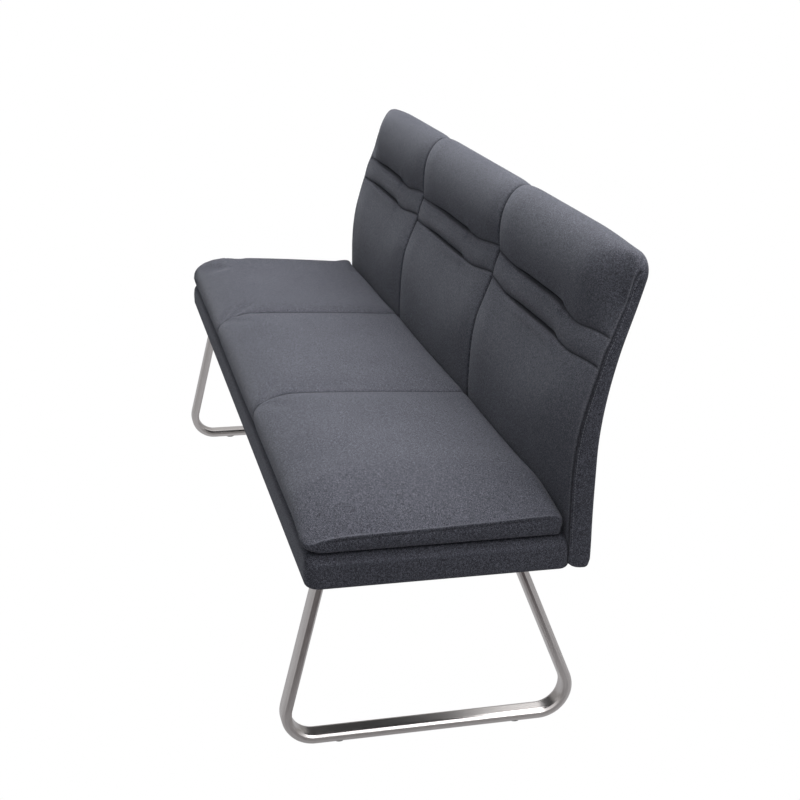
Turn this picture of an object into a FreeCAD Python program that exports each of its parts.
import FreeCAD, Part
import math
import os
import Sketcher

# A long upholstered dining bench: two bent-tube skids, an upholstered seat
# frame, a sewn seat pad and a tall padded back in three panels.
# X runs along the bench, -Y is the sitter's side, Z is up, the floor is Z = 0.

doc = FreeCAD.newDocument("dining_bench")
sheet = doc.addObject("Spreadsheet::Sheet", "sizes")

driving = {
    "bench_length": 1800,
    "panel_pitch": 600,
    "fabric": 1.5,
    # seat base
    "seat_front": -273,
    "seat_depth": 465,
    "seat_underside": 370,
    "seat_thickness": 62,
    "seat_corner": 20,
    "seat_edge": 10,
    "foam_bevel": 6,
    "side_wrap": 6,
    "hem_width": 25,
    "rail_thick": 22,
    "rail_tall": 38.5,
    "slat_tall": 22,
    "skid_rail_wide": 110,
    "bracket_rail_wide": 70,
    "block_leg": 28,
    "strap_thick": 2,
    "strap_wide": 60,
    "strap_pitch": 190,
    "long_strap_pitch": 125,
    # skids
    "skid_inset": 115,
    "tube_wide": 40,
    "tube_deep": 20,
    "tube_wall": 1.5,
    "bend_radius": 54,
    "front_leg_setback": 50.2,
    "front_leg_angle": 12.6,
    "rear_leg_setback": 66.5,
    "rear_leg_angle": 23.4,
    "plate_long": 110,
    "plate_wide": 54,
    "plate_thick": 5,
    "plate_corner": 8,
    "plate_bolt_span": 80,
    # floor glides
    "glide_wide": 24,
    "glide_tall": 2.5,
    "glide_peg": 8,
    "glide_peg_tall": 8,
    "glide_setback": 45,
    "peg_clearance": 0.2,
    # fasteners
    "bolt_shank": 8,
    "bolt_head": 13,
    "bolt_head_tall": 5,
    "bolt_long": 26,
    "insert_wide": 12,
    "insert_tall": 18,
    "bolt_clearance": 0.3,
    "screw_shank": 6,
    "screw_head": 11,
    "screw_head_tall": 3,
    "screw_insert": 9,
    # back
    "back_clearance": 0.5,
    "back_thick": 36.5,
    "back_lean": 14.4,
    "front_bend_rise": 192,
    "front_bend": 400,
    "rear_bend_rise": 203,
    "rear_bend": 560,
    "back_top": 935,
    "top_roll": 75,
    "top_corner": 26,
    "wadding": 5,
    "board": 12,
    "lower_crown": 17,
    "lower_seam": 12,
    "lower_edge": 5,
    "band_crown": 11,
    "band_seam": 6,
    "band_edge": 4,
    "roll_crown": 27,
    "roll_seam": 23,
    "roll_edge": -3,
    "roll_drop": 62,
    "seam_dip": 4.5,
    "end_dip": 9,
    "tuck_depth": 8,
    "seam_depth": 2,
    "tuck_drop": 150,
    "tuck_gap": 58,
    # back brackets
    "bracket_pitch": 450,
    "bracket_wide": 50,
    "bracket_thick": 6,
    "bracket_tall": 220,
    "bracket_foot": 190,
    "bracket_hole_gap": 70,
    "pocket_clearance": 0.5,
    # seat pad
    "pad_inset": 10,
    "pad_overhang": 9,
    "pad_rear_gap": 18,
    "pad_corner": 24,
    "pad_middle": 82,
    "pad_rear_fall": 16,
    "pad_seam_drop": 4,
    "pad_end_drop": 40,
}

for row, (alias, number) in enumerate(driving.items(), start=1):
    cell = "B%d" % row
    sheet.set("A%d" % row, alias)
    sheet.set(cell, str(number))
    sheet.setAlias(cell, alias)
doc.recompute()


class Size:
    """A length or an angle that follows the sheet, as a formula and as its number now."""

    def __init__(self, text, value):
        self.text = text
        self.value = float(value)

    def join(self, sign, other, value):
        return Size("(%s %s %s)" % (self.text, sign, other.text), value)

    def __add__(self, other):
        other = as_size(other)
        return self.join("+", other, self.value + other.value)

    def __sub__(self, other):
        other = as_size(other)
        return self.join("-", other, self.value - other.value)

    def __mul__(self, other):
        other = as_size(other)
        return self.join("*", other, self.value * other.value)

    def __truediv__(self, other):
        other = as_size(other)
        return self.join("/", other, self.value / other.value)

    def __neg__(self):
        return Size("(0 - %s)" % self.text, -self.value)


def as_size(amount):
    if isinstance(amount, Size):
        return amount
    return Size(repr(float(amount)), amount)


def cell_size(alias):
    return Size("sizes." + alias, sheet.get(alias))


def sine(angle):
    return Size("sin(%s)" % angle.text, math.sin(math.radians(angle.value)))


def cosine(angle):
    return Size("cos(%s)" % angle.text, math.cos(math.radians(angle.value)))


def tangent(angle):
    return Size("tan(%s)" % angle.text, math.tan(math.radians(angle.value)))


def bind(item, name, amount):
    item.setExpression(name, as_size(amount).text)


def place(item, x, y, z):
    bind(item, "Placement.Base.x", x)
    bind(item, "Placement.Base.y", y)
    bind(item, "Placement.Base.z", z)


size = {alias: cell_size(alias) for alias in driving}
subparts = []


def keep(item, label):
    item.Label = label
    subparts.append(item)
    return item


def block(name, low, high):
    """A rectangular piece between two opposite corners."""
    box = doc.addObject("Part::Box", name)
    bind(box, "Length", high[0] - low[0])
    bind(box, "Width", high[1] - low[1])
    bind(box, "Height", high[2] - low[2])
    place(box, low[0], low[1], low[2])
    return box


TURNS = {
    "up": FreeCAD.Rotation(),
    "rear": FreeCAD.Rotation(FreeCAD.Vector(1, 0, 0), -90),
}


def rod(name, diameter, length, foot, way="up"):
    """A many-sided bar that starts at foot and runs up or to the rear."""
    bar = doc.addObject("Part::Prism", name)
    bar.Polygon = 8
    bar.Placement = FreeCAD.Placement(FreeCAD.Vector(), TURNS[way])
    bind(bar, "Circumradius", as_size(diameter) / 2)
    bind(bar, "Height", length)
    place(bar, foot[0], foot[1], foot[2])
    return bar


def hexagon(name, across, length, foot):
    bar = doc.addObject("Part::Prism", name)
    bar.Polygon = 6
    bind(bar, "Circumradius", as_size(across) / 2 / cosine(Size("30", 30)))
    bind(bar, "Height", length)
    place(bar, foot[0], foot[1], foot[2])
    return bar


def gather(name, items):
    group = doc.addObject("Part::Compound", name)
    group.Links = items
    return group


def fuse(name, items):
    joined = doc.addObject("Part::MultiFuse", name)
    joined.Shapes = items
    joined.Refine = True
    return joined


def cut(name, base, tool):
    left = doc.addObject("Part::Cut", name)
    left.Base = base
    left.Tool = tool
    return left


def plane(body, role):
    return [item for item in body.Origin.OriginFeatures if item.Role == role][0]


def outline(body, role, points, arcs=None, closed=True, name="outline"):
    """A sketch through points; arcs maps an edge's number to (radius, centre)."""
    arcs = arcs or {}
    sketch = body.newObject("Sketcher::SketchObject", name)
    sketch.AttachmentSupport = [(plane(body, role), "")]
    sketch.MapMode = "FlatFace"
    count = len(points)
    edges = count if closed else count - 1
    flat = [FreeCAD.Vector(across.value, along.value, 0) for across, along in points]
    ends = []
    for edge in range(edges):
        first = flat[edge]
        last = flat[(edge + 1) % count]
        if edge not in arcs:
            sketch.addGeometry(Part.LineSegment(first, last), False)
            ends.append((1, 2))
            continue
        radius, centre = arcs[edge]
        middle = FreeCAD.Vector(centre[0].value, centre[1].value, 0)
        turn = (first - middle).cross(last - middle).z
        begin, finish = (first, last) if turn > 0 else (last, first)
        circle = Part.Circle(middle, FreeCAD.Vector(0, 0, 1), radius.value)
        start_angle = math.atan2(begin.y - middle.y, begin.x - middle.x)
        end_angle = math.atan2(finish.y - middle.y, finish.x - middle.x)
        sketch.addGeometry(Part.ArcOfCircle(circle, start_angle, end_angle), False)
        ends.append((1, 2) if turn > 0 else (2, 1))
    for edge in range(edges):
        following = (edge + 1) % edges
        if closed or edge + 1 < edges:
            sketch.addConstraint(Sketcher.Constraint(
                "Coincident", edge, ends[edge][1], following, ends[following][0]))
    for corner in range(count):
        edge = min(corner, edges - 1)
        end = ends[edge][0] if corner < edges else ends[edge][1]
        for axis, amount in zip(("DistanceX", "DistanceY"), points[corner]):
            number = sketch.addConstraint(
                Sketcher.Constraint(axis, -1, 1, edge, end, amount.value))
            sketch.renameConstraint(number, "%s%d" % (axis[-1].lower() + "_of_", corner))
            bind(sketch, "Constraints.%s%d" % (axis[-1].lower() + "_of_", corner), amount)
    for edge, (radius, centre) in arcs.items():
        number = sketch.addConstraint(Sketcher.Constraint("Radius", edge, radius.value))
        sketch.renameConstraint(number, "bend_%d" % edge)
        bind(sketch, "Constraints.bend_%d" % edge, radius)
    return sketch


def pad(body, sketch, length, middle=False, name="pad"):
    feature = body.newObject("PartDesign::Pad", name)
    feature.Profile = sketch
    if middle:
        feature.SideType = "Symmetric"
    bind(feature, "Length", length)
    sketch.Visibility = False
    doc.recompute()
    return feature


def edges_where(shape, wanted):
    names = []
    for number, edge in enumerate(shape.Edges, start=1):
        if wanted(edge):
            names.append("Edge%d" % number)
    return names


def fillet(body, base, wanted, radius, name="round"):
    feature = body.newObject("PartDesign::Fillet", name)
    feature.Base = (base, edges_where(base.Shape, wanted))
    bind(feature, "Radius", radius)
    doc.recompute()
    return feature


def bevel(body, base, wanted, amount):
    feature = body.newObject("PartDesign::Chamfer", "bevel")
    feature.Base = (base, edges_where(base.Shape, wanted))
    bind(feature, "Size", amount)
    doc.recompute()
    return feature


def rectangle(low, high):
    return [(low[0], low[1]), (high[0], low[1]), (high[0], high[1]), (low[0], high[1])]


def along(edge, axis):
    """True for a straight edge that runs along one axis."""
    if edge.Curve.TypeId != "Part::GeomLine":
        return False
    return abs(edge.Curve.Direction.dot(axis)) > 0.999


X_WAY = FreeCAD.Vector(1, 0, 0)
Y_WAY = FreeCAD.Vector(0, 1, 0)
Z_WAY = FreeCAD.Vector(0, 0, 1)

half = size["bench_length"] / 2
fabric = size["fabric"]
zero = as_size(0)
sides = (("left", -1), ("right", 1))

# Seat levels, from the underside of the cloth up
underside = size["seat_underside"]
rail_base = underside + fabric
rail_top = rail_base + size["rail_tall"]
strap_top = rail_top + size["strap_thick"]
foam_base = strap_top + size["strap_thick"]
seat_top = underside + size["seat_thickness"]
foam_top = seat_top - fabric
slat_top = rail_base + size["slat_tall"]

seat_front = size["seat_front"]
seat_rear = seat_front + size["seat_depth"]
size["back_front"] = seat_rear + size["back_clearance"]
size["back_rear"] = size["back_front"] + size["back_thick"]
size["pad_front"] = seat_front - size["pad_overhang"]
size["pad_depth"] = size["seat_depth"] + size["pad_overhang"] - size["pad_rear_gap"]
size["front_leg_top"] = seat_front + size["front_leg_setback"]
size["rear_leg_top"] = seat_rear - size["rear_leg_setback"]
size["front_bend_centre"] = underside + size["front_bend_rise"]
size["rear_bend_centre"] = underside + size["rear_bend_rise"]
size["back_rise"] = size["back_top"] - size["top_roll"] - underside
size["tuck_high"] = size["back_top"] - size["tuck_drop"]
size["tuck_low"] = size["tuck_high"] - size["tuck_gap"]
frame_front = seat_front + fabric + size["side_wrap"]
frame_rear = seat_rear - fabric - size["side_wrap"]
frame_half = half - fabric - size["side_wrap"]
inner_front = frame_front + size["rail_thick"]
inner_rear = frame_rear - size["rail_thick"]
inner_half = frame_half - size["rail_thick"]

# Skid tubes: one bent flat-oval tube each, welded under two bolt plates
plate_top = underside
tube_top = plate_top - size["plate_thick"]
tube_base = size["glide_tall"]
runner_mid = tube_base + size["tube_deep"] / 2
skid_x = half - size["skid_inset"]
bend = size["bend_radius"]
over = as_size(20)


def leg_points(top, angle, sign):
    """Top end, bend start, bend end on the runner and bend centre of one leg."""
    reach = bend / tangent((as_size(90) - angle) / 2)
    foot = top + (tube_top - runner_mid) * tangent(angle) * sign
    head = top - over * tangent(angle) * sign
    high = (head, tube_top + over)
    start = (foot - reach * sine(angle) * sign, runner_mid + reach * cosine(angle))
    end = (foot - reach * sign, runner_mid)
    centre = (end[0], runner_mid + bend)
    return high, start, end, centre


front_leg = leg_points(size["front_leg_top"], size["front_leg_angle"], -1)
rear_leg = leg_points(size["rear_leg_top"], size["rear_leg_angle"], 1)
size["glide_front"] = front_leg[2][0] + size["glide_setback"]
size["glide_rear"] = rear_leg[2][0] - size["glide_setback"]


def oval_corners(wide, deep, flats):
    """Corners of a flat oval whose round ends are made of flats."""
    radius = deep / 2
    reach = wide / 2 - radius
    corners = []
    for sign in (1, -1):
        for step in range(flats + 1):
            angle = math.pi * (step / flats - 0.5)
            corners.append(((reach + radius * math.cos(angle)) * sign, radius * math.sin(angle) * sign))
    return corners


def oval(body, name):
    """A hollow flat-oval profile, square to the front leg at its upper end."""
    sketch = body.newObject("Sketcher::SketchObject", name)
    spine_end = FreeCAD.Vector(0, front_leg[0][0].value, front_leg[0][1].value)
    tilt = FreeCAD.Rotation(FreeCAD.Vector(-1, 0, 0), size["front_leg_angle"].value)
    sketch.Placement = FreeCAD.Placement(spine_end, tilt)
    bind(sketch, "Placement.Base.y", front_leg[0][0])
    bind(sketch, "Placement.Base.z", front_leg[0][1])
    wall = size["tube_wall"] * 2
    rings = (oval_corners(size["tube_wide"], size["tube_deep"], 6),
             oval_corners(size["tube_wide"] - wall, size["tube_deep"] - wall, 3))
    edge = 0
    for ring, corners in enumerate(rings):
        count = len(corners)
        flat = [FreeCAD.Vector(across.value, upward.value, 0) for across, upward in corners]
        for number in range(count):
            sketch.addGeometry(Part.LineSegment(flat[number], flat[(number + 1) % count]), False)
        for number in range(count):
            following = edge + (number + 1) % count
            sketch.addConstraint(Sketcher.Constraint("Coincident", edge + number, 2, following, 1))
        for number, corner in enumerate(corners):
            for axis, amount in zip(("DistanceX", "DistanceY"), corner):
                label = "%s_%d_%d" % (axis[-1].lower(), ring, number)
                index = sketch.addConstraint(
                    Sketcher.Constraint(axis, -1, 1, edge + number, 1, amount.value))
                sketch.renameConstraint(index, label)
                bind(sketch, "Constraints." + label, amount)
        edge += count
    return sketch


def skid_tube(side, sign):
    body = doc.addObject("PartDesign::Body", "skid_tube_" + side)
    spine_points = [front_leg[0], front_leg[1], front_leg[2], rear_leg[2], rear_leg[1], rear_leg[0]]
    bends = {1: (bend, front_leg[3]), 3: (bend, rear_leg[3])}
    spine = outline(body, "YZ_Plane", spine_points, bends, closed=False, name="spine")
    profile = oval(body, "tube_profile")
    doc.recompute()
    tube = body.newObject("PartDesign::AdditivePipe", "tube")
    tube.Profile = profile
    tube.Spine = (spine, ["Edge%d" % number for number in range(1, 6)])
    doc.recompute()
    reach = size["tube_wide"]
    trim_low = (-reach, size["front_leg_top"] - reach)
    trim_high = (reach, size["rear_leg_top"] + reach)
    trim = outline(body, "XY_Plane", rectangle(trim_low, trim_high), name="trim")
    bind(trim, "AttachmentOffset.Base.z", tube_top)
    doc.recompute()
    level = body.newObject("PartDesign::Pocket", "level_ends")
    level.Profile = trim
    level.Type = "ThroughAll"
    level.Reversed = True
    doc.recompute()
    hole = size["glide_peg"] / 2 + size["peg_clearance"]
    sketch = body.newObject("Sketcher::SketchObject", "peg_holes")
    sketch.AttachmentSupport = [(plane(body, "XY_Plane"), "")]
    sketch.MapMode = "FlatFace"
    for number, spot in enumerate((size["glide_front"], size["glide_rear"])):
        middle = FreeCAD.Vector(0, spot.value, 0)
        sketch.addGeometry(Part.Circle(middle, Z_WAY, hole.value), False)
        for way, amount in (("DistanceX", zero), ("DistanceY", spot)):
            index = sketch.addConstraint(Sketcher.Constraint(way, -1, 1, number, 3, amount.value))
            sketch.renameConstraint(index, "peg_%s_%d" % (way[-1].lower(), number))
            bind(sketch, "Constraints.peg_%s_%d" % (way[-1].lower(), number), amount)
        index = sketch.addConstraint(Sketcher.Constraint("Radius", number, hole.value))
        sketch.renameConstraint(index, "peg_hole_%d" % number)
        bind(sketch, "Constraints.peg_hole_%d" % number, hole)
    doc.recompute()
    drill = body.newObject("PartDesign::Pocket", "glide_holes")
    drill.Profile = sketch
    drill.Reversed = True
    bind(drill, "Length", runner_mid)
    doc.recompute()
    bind(body, "Placement.Base.x", skid_x * sign)
    return keep(body, "skid_tube_" + side)


def bolt_plate(label, x, y):
    body = doc.addObject("PartDesign::Body", label)
    long = size["plate_long"] / 2
    wide = size["plate_wide"] / 2
    sketch = outline(body, "XY_Plane", rectangle((-long, -wide), (long, wide)))
    slab = pad(body, sketch, size["plate_thick"])
    fillet(body, slab, lambda edge: along(edge, Z_WAY), size["plate_corner"])
    place(body, x, y, tube_top)
    bore = size["bolt_shank"] + size["bolt_clearance"] * 2
    holes = []
    for number, sign in enumerate((-1, 1)):
        spot = x + size["plate_bolt_span"] / 2 * sign
        holes.append(rod("%s_hole_%d" % (label, number), bore, size["plate_thick"], (spot, y, tube_top)))
    body.Label = label + "_blank"
    return keep(cut(label + "_drilled", body, gather(label + "_holes", holes)), label)


def floor_glide(label, x, y):
    """A plastic button whose peg sits in the runner's hole."""
    button = doc.addObject("Part::Prism", label + "_button")
    button.Polygon = 24
    bind(button, "Circumradius", size["glide_wide"] / 2)
    bind(button, "Height", size["glide_tall"])
    place(button, x, y, zero)
    peg = rod(label + "_peg", size["glide_peg"], size["glide_peg_tall"], (x, y, size["glide_tall"]))
    return keep(fuse(label, [button, peg]), label)


bolt_spots = []
for side, sign in sides:
    skid_tube(side, sign)
for end, spot in (("front", size["front_leg_top"]), ("rear", size["rear_leg_top"])):
    for side, sign in sides:
        bolt_plate("bolt_plate_%s_%s" % (end, side), skid_x * sign, spot)
        for step in (-1, 1):
            bolt_spots.append((skid_x * sign + size["plate_bolt_span"] / 2 * step, spot))
for end, spot in (("front", size["glide_front"]), ("rear", size["glide_rear"])):
    for side, sign in sides:
        floor_glide("floor_glide_%s_%s" % (end, side), skid_x * sign, spot)


def hex_bolts(label, spots, seat):
    """Hexagon bolts driven up from below, head under the seat level."""
    bolts = []
    for number, (x, y) in enumerate(spots):
        head_low = seat - size["bolt_head_tall"]
        head = hexagon("%s_head_%d" % (label, number), size["bolt_head"],
                       size["bolt_head_tall"], (x, y, head_low))
        shank = rod("%s_shank_%d" % (label, number), size["bolt_shank"],
                    size["bolt_long"], (x, y, seat))
        bolts.append(fuse("%s_%d" % (label, number), [head, shank]))
    return keep(gather(label, bolts), label)


def insert_nuts(label, spots, foot, outer, bore, length, way="up"):
    """Threaded sleeves set into the wood around each bolt."""
    sleeves = []
    for number, spot in enumerate(spots):
        low = foot(spot)
        sleeve = rod("%s_sleeve_%d" % (label, number), outer, length, low, way)
        hole = rod("%s_bore_%d" % (label, number), bore, length, low, way)
        sleeves.append(cut("%s_%d" % (label, number), sleeve, hole))
    return keep(gather(label, sleeves), label)


bore_wide = size["bolt_shank"] + size["bolt_clearance"] * 2
hex_bolts("skid_bolts", bolt_spots, tube_top)
insert_nuts("skid_insert_nuts", bolt_spots, lambda spot: (spot[0], spot[1], rail_base),
            size["insert_wide"], bore_wide, size["insert_tall"])

# Seat frame: wooden rails, flat cross slats, corner blocks and straps
block_rows = (("seat_rail_front", frame_front, inner_front), ("seat_rail_rear", inner_rear, frame_rear))
for label, near, far in block_rows:
    keep(block(label, (-frame_half, near, rail_base), (frame_half, far, rail_top)), label)
for side, sign in sides:
    low_x, high_x = (inner_half, frame_half) if sign > 0 else (-frame_half, -inner_half)
    label = "seat_rail_" + side
    keep(block(label, (low_x, inner_front, rail_base), (high_x, inner_rear, strap_top)), label)


def drilled_slat(label, x, wide, spots):
    """A flat cross slat with a sleeve hole and a bolt hole at each spot."""
    wide_half = as_size(wide) / 2
    slat = block(label + "_blank", (x - wide_half, inner_front, rail_base),
                 (x + wide_half, inner_rear, slat_top))
    holes = []
    for number, (spot_x, spot_y) in enumerate(spots):
        foot = (spot_x, spot_y, rail_base)
        holes.append(rod("%s_hole_%d" % (label, number), size["insert_wide"], size["slat_tall"], foot))
    return keep(cut(label, slat, gather(label + "_holes", holes)), label)


bracket_half = size["bracket_wide"] / 2
bracket_spots = (("left", -1), ("middle", 0), ("right", 1))
foot_front = size["back_rear"] - size["wadding"] - fabric - size["board"] - size["bracket_foot"]
seat_holes = [foot_front + 25, foot_front + 25 + size["bracket_hole_gap"]]
bracket_seat_spots = []
for side, sign in sides:
    wanted = [spot for spot in bolt_spots if spot[0].value * sign > 0]
    drilled_slat("skid_slat_" + side, skid_x * sign, size["skid_rail_wide"], wanted)
for side, sign in bracket_spots:
    x = size["bracket_pitch"] * sign
    spots = [(x, hole) for hole in seat_holes]
    bracket_seat_spots.extend(spots)
    drilled_slat("bracket_slat_" + side, x, size["bracket_rail_wide"], spots)

corner_blocks = []
for side, sign in sides:
    for end, way in (("front", 1), ("rear", -1)):
        corner_y = inner_front if way > 0 else inner_rear
        name = "corner_block_%s_%s" % (end, side)
        body = doc.addObject("PartDesign::Body", name)
        leg = size["block_leg"]
        points = [(zero, zero), (-leg * sign, zero), (zero, leg * way)]
        pad(body, outline(body, "XY_Plane", points), size["slat_tall"])
        place(body, inner_half * sign, corner_y, slat_top - size["slat_tall"])
        corner_blocks.append(body)
keep(gather("corner_blocks", corner_blocks), "corner_blocks")

straps = []
strap_reach = int((inner_half - size["strap_wide"]).value // size["strap_pitch"].value)
for step in range(-strap_reach, strap_reach + 1):
    x = size["strap_pitch"] * step
    wide = size["strap_wide"] / 2
    straps.append(block("cross_strap_%d" % (step + strap_reach), (x - wide, frame_front, rail_top),
                        (x + wide, frame_rear, strap_top)))
keep(gather("seat_straps_cross", straps), "seat_straps_cross")
straps = []
middle_y = (frame_front + frame_rear) / 2
for step in (-1, 0, 1):
    y = middle_y + size["long_strap_pitch"] * step
    wide = size["strap_wide"] / 2
    straps.append(block("long_strap_%d" % (step + 1), (-frame_half, y - wide, strap_top),
                        (frame_half, y + wide, foam_base)))
keep(gather("seat_straps_long", straps), "seat_straps_long")


no_inset = as_size(0)


def rounded_slab(name, inset, low, high):
    """A slab of the seat's plan, drawn in all round by inset, soft along the top when it is the outside."""
    body = doc.addObject("PartDesign::Body", name)
    corner_low = (-half + inset, seat_front + inset)
    corner_high = (half - inset, seat_rear - inset)
    sketch = outline(body, "XY_Plane", rectangle(corner_low, corner_high))
    slab = pad(body, sketch, high - low)
    slab = fillet(body, slab, lambda item: along(item, Z_WAY), size["seat_corner"] - inset)
    top = max(vertex.Z for vertex in slab.Shape.Vertexes)

    def upper(edge):
        return min(vertex.Z for vertex in edge.Vertexes) > top - 0.01

    if inset is no_inset:
        fillet(body, slab, upper, size["seat_edge"], name="soft_edge")
    else:
        bevel(body, slab, upper, size["foam_bevel"])
    place(body, zero, zero, low)
    return body


foam_inset = fabric
frame_inset = fabric + size["side_wrap"]
cover_outer = rounded_slab("seat_cover_outer", no_inset, underside, seat_top)
cover_room = rounded_slab("seat_cover_room", foam_inset, rail_base, foam_top)
hem_low = (-half + size["hem_width"], seat_front + size["hem_width"], underside)
hem_high = (half - size["hem_width"], seat_rear - size["hem_width"], rail_base)
hem_gap = block("hem_gap", hem_low, hem_high)
seat_cover = cut("seat_cover", cover_outer, gather("seat_cover_space", [cover_room, hem_gap]))
keep(seat_cover, "seat_cover")
foam_blank = rounded_slab("seat_foam_blank", foam_inset, rail_base, foam_top)
frame_space = block("frame_space", (-frame_half, frame_front, rail_base),
                    (frame_half, frame_rear, foam_base))
keep(cut("seat_foam", foam_blank, frame_space), "seat_foam")

dust_holes = []
for number, (x, y) in enumerate(bolt_spots + bracket_seat_spots):
    dust_holes.append(rod("dust_hole_%d" % number, bore_wide, fabric, (x, y, underside)))
dust_blank = block("dust_cover_blank", hem_low, hem_high)
keep(cut("dust_cover", dust_blank, gather("dust_cover_holes", dust_holes)), "dust_cover")

# Back: layers bent to one curve, from the rear cloth forward
lean = size["back_lean"]
rear_centre = (size["back_rear"] + size["rear_bend"], size["rear_bend_centre"])


def layer_curve(depth):
    """Low end, bend start, bend end and upper end of a layer face at a depth from the rear."""
    radius = size["rear_bend"] + depth
    y = size["back_rear"] - depth
    bend_end = (rear_centre[0] - radius * cosine(lean), rear_centre[1] + radius * sine(lean))
    rise = size["back_rise"] - (rear_centre[1] - underside)
    run = rise - size["rear_bend"] * sine(lean)
    upper = (bend_end[0] + run * tangent(lean), bend_end[1] + run)
    return [(y, underside), (y, rear_centre[1]), bend_end, upper], radius


def bent_layer(name, near, far, half_long):
    """A bent sheet between two depths."""
    rear_face, rear_radius = layer_curve(near)
    front_face, front_radius = layer_curve(far)
    points = rear_face + front_face[::-1]
    arcs = {1: (rear_radius, rear_centre), 5: (front_radius, rear_centre)}
    body = doc.addObject("PartDesign::Body", name)
    sketch = outline(body, "YZ_Plane", points, arcs)
    pad(body, sketch, half_long * 2, middle=True)
    return body


back_half = half - fabric
rear_cloth = fabric
wadding_deep = rear_cloth + size["wadding"]
board_deep = wadding_deep + size["board"]
keep(bent_layer("back_rear_cover", zero, rear_cloth, back_half), "back_rear_cover")
keep(bent_layer("back_wadding", rear_cloth, wadding_deep, back_half), "back_wadding")
board_blank = bent_layer("back_board_blank", wadding_deep, board_deep, back_half)

board_front = size["back_rear"] - board_deep
screw_heights = [underside + 45, underside + 125, underside + 180]
screw_spots = []
for side, sign in bracket_spots:
    for height in screw_heights:
        screw_spots.append((size["bracket_pitch"] * sign, height))
board_holes = []
for number, (x, z) in enumerate(screw_spots):
    foot = (x, board_front, z)
    board_holes.append(rod("board_hole_%d" % number, size["screw_insert"], size["board"], foot, "rear"))
keep(cut("back_board", board_blank, gather("board_holes", board_holes)), "back_board")
screw_bore = size["screw_shank"] + size["bolt_clearance"] * 2
insert_nuts("board_insert_nuts", screw_spots, lambda spot: (spot[0], board_front, spot[1]),
            size["screw_insert"], screw_bore, size["board"], "rear")

bracket_face = board_front - size["bracket_thick"]
for side, sign in bracket_spots:
    label = "back_bracket_" + side
    x = size["bracket_pitch"] * sign
    body = doc.addObject("PartDesign::Body", label)
    thick = size["bracket_thick"]
    foot_low = underside - thick
    points = [
        (board_front - size["bracket_foot"], foot_low), (board_front, foot_low),
        (board_front, foot_low + size["bracket_tall"]), (bracket_face, foot_low + size["bracket_tall"]),
        (bracket_face, underside), (board_front - size["bracket_foot"], underside),
    ]
    angle = pad(body, outline(body, "YZ_Plane", points), size["bracket_wide"], middle=True)
    bind(body, "Placement.Base.x", x)
    holes = []
    for number, hole in enumerate(seat_holes):
        holes.append(rod("%s_foot_hole_%d" % (label, number), bore_wide, thick, (x, hole, foot_low)))
    for number, height in enumerate(screw_heights):
        holes.append(rod("%s_post_hole_%d" % (label, number), screw_bore, thick,
                         (x, bracket_face, height), "rear"))
    body.Label = label + "_blank"
    keep(cut(label + "_drilled", body, gather(label + "_holes", holes)), label)

hex_bolts("bracket_bolts", bracket_seat_spots, underside - size["bracket_thick"])
insert_nuts("bracket_insert_nuts", bracket_seat_spots, lambda spot: (spot[0], spot[1], rail_base),
            size["insert_wide"], bore_wide, size["insert_tall"])
screws = []
for number, (x, z) in enumerate(screw_spots):
    head_face = bracket_face - size["screw_head_tall"]
    head = rod("screw_head_%d" % number, size["screw_head"], size["screw_head_tall"],
               (x, head_face, z), "rear")
    shank_long = size["bracket_thick"] + size["board"] - 1
    shank = rod("screw_shank_%d" % number, size["screw_shank"], shank_long, (x, bracket_face, z), "rear")
    screws.append(fuse("back_screw_%d" % number, [head, shank]))
keep(gather("back_screws", screws), "back_screws")

# Soft forms: sections across the bench, lofted from seam to seam
number_of = {alias: amount.value for alias, amount in size.items()}
cloth = number_of["fabric"]
seam_x = number_of["panel_pitch"] / 2


def section(x, start, steps, flats):
    """A closed wire at x through (y, z) points; a step of two points is a bow of that many flats."""
    here = FreeCAD.Vector(x, *start)
    corners = [here]
    for step in steps:
        there = FreeCAD.Vector(x, *step[-1])
        if len(step) == 1:
            corners.append(there)
        else:
            bow = Part.Arc(here, FreeCAD.Vector(x, *step[0]), there).toShape()
            corners.extend(bow.discretize(flats + 1)[1:])
        here = there
    corners[-1] = corners[0]
    return Part.makePolygon(corners)


def panels(make_section, end_x, end_power):
    """Three lofts side by side that meet at the two cross seams."""
    solids = []
    for low, high in ((-end_x, -seam_x), (-seam_x, seam_x), (seam_x, end_x)):
        wires = []
        for share in (0.0, 0.06, 0.22, 0.5, 0.78, 0.94, 1.0):
            at_end = (low == -end_x and share < 0.5) or (high == end_x and share > 0.5)
            fullness = 1 - abs(2 * share - 1) ** (end_power if at_end else 2.5)
            wires.append(make_section(low + (high - low) * share, fullness, at_end))
        solids.append(Part.makeLoft(wires, True, True))
    whole = solids[0].fuse(solids[1:]).removeSplitter()
    return whole.Solids[0]


pad_base = seat_top.value
pad_front = number_of["pad_front"]
pad_rear = pad_front + number_of["pad_depth"]


def pad_section(inset):
    def make(x, fullness, at_end):
        drop = number_of["pad_end_drop"] if at_end else number_of["pad_seam_drop"]
        rise = number_of["pad_middle"] - inset - drop * (1 - fullness)
        fall = number_of["pad_rear_fall"] * (fullness if at_end else 1)
        draw_in = inset + 3 * (1 - fullness)
        front = pad_front + draw_in
        rear = pad_rear - draw_in
        shoulder = (front + 34, pad_base + rise - 10 * rise / number_of["pad_middle"])
        crest = (front + (rear - front) * 0.3, pad_base + rise)
        slope = (front + (rear - front) * 0.62, pad_base + rise - fall * 0.4)
        heel = (rear - 16, pad_base + rise - fall)
        return section(x, (rear - 5, pad_base), [
            [(front + 13, pad_base)],
            [(front, pad_base + rise * 0.46), shoulder],
            [crest],
            [slope],
            [heel],
            [(rear, pad_base + (rise - fall) * 0.5), (rear - 5, pad_base)],
        ], 5)
    return make


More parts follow.
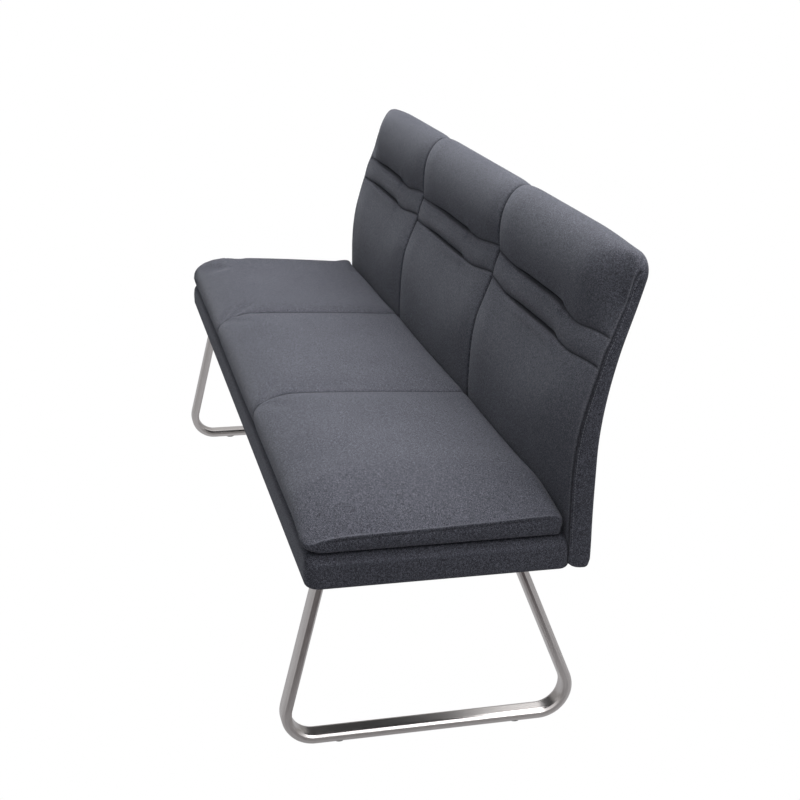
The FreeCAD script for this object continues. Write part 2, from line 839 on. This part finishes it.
def plan_block(x_half, front, rear, corner, low, high):
    """An upright block with rounded corners in plan."""
    slab = Part.makeBox(2 * x_half, rear - front, high - low, FreeCAD.Vector(-x_half, front, low))
    return slab.makeFillet(corner, [edge for edge in slab.Edges if along(edge, Z_WAY)])


pad_half = half.value - number_of["pad_inset"]
pad_plan = plan_block(pad_half, pad_front, pad_rear, number_of["pad_corner"],
                      pad_base, pad_base + 2 * number_of["pad_middle"])
core_plan = plan_block(pad_half - cloth, pad_front + cloth, pad_rear - cloth,
                       number_of["pad_corner"] - cloth, pad_base, pad_base + 2 * number_of["pad_middle"])
pad_outer = panels(pad_section(0.0), pad_half, 6).common(pad_plan)
pad_inner = panels(pad_section(cloth), pad_half - cloth, 6).common(core_plan)
pad_floor = Part.makeBox(2 * half.value, 2 * number_of["pad_depth"], cloth,
                         FreeCAD.Vector(-half.value, pad_front - 50, pad_base))


def soft(label, shape):
    item = doc.addObject("Part::Feature", label)
    item.Shape = shape.Solids[0] if len(shape.Solids) == 1 else Part.makeCompound(shape.Solids)
    return keep(item, label)


soft("pad_cover", pad_outer.cut(pad_inner))
soft("pad_foam", pad_inner.cut(pad_floor))
soft("pad_underside", pad_inner.common(pad_floor))

# The padded front of the back, with two tucks across each of its three panels
lean_angle = math.radians(number_of["back_lean"])
lean_way = (math.sin(lean_angle), math.cos(lean_angle))
lean_face = (-math.cos(lean_angle), math.sin(lean_angle))
bend_low = number_of["front_bend_centre"]
bend_high = bend_low + number_of["front_bend"] * math.sin(lean_angle)
bend_back = number_of["back_front"] + number_of["front_bend"] * (1 - math.cos(lean_angle))


def face_point(z, out):
    """A point of the front face at height z, moved out towards the sitter."""
    if z <= bend_low:
        return (number_of["back_front"] - out, z)
    if z >= bend_high:
        y = bend_back + (z - bend_high) * math.tan(lean_angle)
        return (y + lean_face[0] * out, z + lean_face[1] * out)
    turn = math.asin((z - bend_low) / number_of["front_bend"])
    y = number_of["back_front"] + number_of["front_bend"] * (1 - math.cos(turn))
    return (y - math.cos(turn) * out, z + math.sin(turn) * out)


rear_top = [coordinate.value for coordinate in layer_curve(zero)[0][3]]
core_depth = wadding_deep + size["board"] / 2
core_line = [(point[0].value, point[1].value) for point in layer_curve(core_depth)[0]]
core_turn = lean_angle / 2
core_radius = layer_curve(core_depth)[1].value
core_middle = (rear_centre[0].value - core_radius * math.cos(core_turn),
               rear_centre[1].value + core_radius * math.sin(core_turn))


def zone_out(zone, fullness, at_end):
    """How far one zone of a panel stands out, from its seam to its middle."""
    full = number_of[zone + "_crown"]
    sewn = number_of[zone + ("_edge" if at_end else "_seam")]
    return sewn + (full - sewn) * fullness


def back_section(inset):
    def make(x, fullness, at_end):
        lower = zone_out("lower", fullness, at_end) - inset
        band = zone_out("band", fullness, at_end) - inset
        roll = zone_out("roll", fullness, at_end) - inset
        sewn_deep = number_of["seam_depth"]
        deep = sewn_deep + (number_of["tuck_depth"] - sewn_deep) * fullness ** 2
        dip = number_of["end_dip"] if at_end else number_of["seam_dip"]
        low, high = number_of["tuck_low"], number_of["tuck_high"]
        field = low - pad_base
        top_z = number_of["back_top"] - dip * (1 - fullness) - inset
        brow_z = top_z - number_of["roll_drop"]
        brow = face_point(brow_z, roll)
        heel_z = top_z - 10
        heel_y = rear_top[0] + (heel_z - rear_top[1]) * math.tan(lean_angle) - inset
        crest = (heel_y - 14 - 6 * fullness, top_z)
        over = (brow[0] + (crest[0] - brow[0]) * 0.28, brow[1] + (crest[1] - brow[1]) * 0.74)
        heel = (heel_y, heel_z)
        ridge = (heel_y - 5, top_z - 0.5)
        turn = (heel_y - 0.5, top_z - 4)
        rear_end = (rear_top[0] - inset * 0.97, rear_top[1] + inset * 0.25)
        return section(x, core_line[0], [
            [face_point(underside.value, -inset)],
            [face_point(pad_base, -inset)],
            [face_point(pad_base + field * 0.30, lower * 0.9), face_point(pad_base + field * 0.64, lower)],
            [face_point(pad_base + field * 0.83, lower * 0.92), face_point(low - 9, lower * 0.66)],
            [face_point(low, band * 0.7 - deep)],
            [face_point(low + 7, band * 0.75)],
            [face_point((low + high) / 2, band), face_point(high - 8, band * 0.8)],
            [face_point(high, band * 0.7 - deep)],
            [face_point(high + 8, band * 0.7 + roll * 0.2)],
            [face_point(high + (brow_z - high) * 0.45, roll * 0.8), brow],
            [over, crest],
            [ridge],
            [turn, heel],
            [rear_end],
            [core_line[3]],
            [core_line[2]],
            [core_middle, core_line[1]],
            [core_line[0]],
        ], 3)
    return make


def front_view(x_half, top, corner):
    """A block that gives the back its outline seen from the front."""
    deep = number_of["back_top"]
    slab = Part.makeBox(2 * x_half, 2 * deep, top, FreeCAD.Vector(-x_half, -deep, 0))
    upper = [edge for edge in slab.Edges if along(edge, Y_WAY) and edge.Vertexes[0].Z > top - 1]
    return slab.makeFillet(corner, upper)


end_x = back_half.value
corner = number_of["top_corner"]
crest_z = number_of["back_top"]
stack = bent_layer("back_stack", zero, board_deep, half + 20).Shape
outer_form = panels(back_section(0.0), end_x, 2.5).cut(stack).common(front_view(end_x, crest_z + 1, corner))
inner_form = panels(back_section(cloth), end_x, 2.5).cut(stack).common(front_view(end_x, crest_z + 1, corner))
soft("back_front_cover", outer_form.cut(inner_form))
pockets = []
gap = number_of["pocket_clearance"]
for side, sign in bracket_spots:
    x = number_of["bracket_pitch"] * sign
    wide = number_of["bracket_wide"] / 2 + gap
    deep = number_of["bracket_thick"] + gap
    low = underside.value - 1
    tall = number_of["bracket_tall"] - number_of["bracket_thick"] + gap + 1
    corner_point = FreeCAD.Vector(x - wide, board_front.value - deep, low)
    pockets.append(Part.makeBox(2 * wide, deep + 5, tall, corner_point))
    for height in screw_heights:
        room = number_of["screw_head_tall"] + gap
        reach = number_of["screw_head"] / 2 + gap
        low_corner = FreeCAD.Vector(x - reach, board_front.value - deep - room, height.value - reach)
        pockets.append(Part.makeBox(2 * reach, room + 1, 2 * reach, low_corner))
soft("back_foam", inner_form.cut(Part.makeCompound(pockets)))

# The side bands: cloth strips between the front seam and the rear cloth
outer_view = front_view(half.value, crest_z + 1 + cloth, corner + cloth)
ring = outer_view.cut(front_view(end_x, crest_z + 1, corner))
edge_section = back_section(0.0)(0.0, 0.0, True)
strip_face = Part.Face(edge_section)
strip = strip_face.extrude(FreeCAD.Vector(number_of["bench_length"] * 2, 0, 0))
strip.translate(FreeCAD.Vector(-number_of["bench_length"], 0, 0))
stack_face = bent_layer("band_stack", zero, board_deep, half * 2).Shape
profile = strip.fuse(stack_face)
band = ring.common(profile)
for side, sign in sides:
    keep_x = half.value - corner
    start = FreeCAD.Vector(keep_x if sign > 0 else -half.value - 1, -crest_z, 0)
    zone = Part.makeBox(corner + 1, 2 * crest_z, crest_z - 12, start)
    soft("back_band_" + side, band.common(zone))

doc.recompute()

faults = []
for item in doc.Objects:
    if "Invalid" in item.State or "Error" in item.State:
        faults.append("%s is in state %s" % (item.Label, item.State))
for item in subparts:
    if item.Shape.isNull() or not item.Shape.isValid() or not item.Shape.Solids:
        faults.append("%s has no valid solid" % item.Label)
if faults:
    raise RuntimeError("; ".join(faults))

os.makedirs("parts", exist_ok=True)
for item in subparts:
    item.Shape.exportStep("parts/%s.step" % item.Label)
    box = item.Shape.BoundBox
    print("%-26s solids %2d  x %7.1f %7.1f  y %7.1f %7.1f  z %7.1f %7.1f" % (
        item.Label, len(item.Shape.Solids), box.XMin, box.XMax, box.YMin, box.YMax, box.ZMin, box.ZMax))
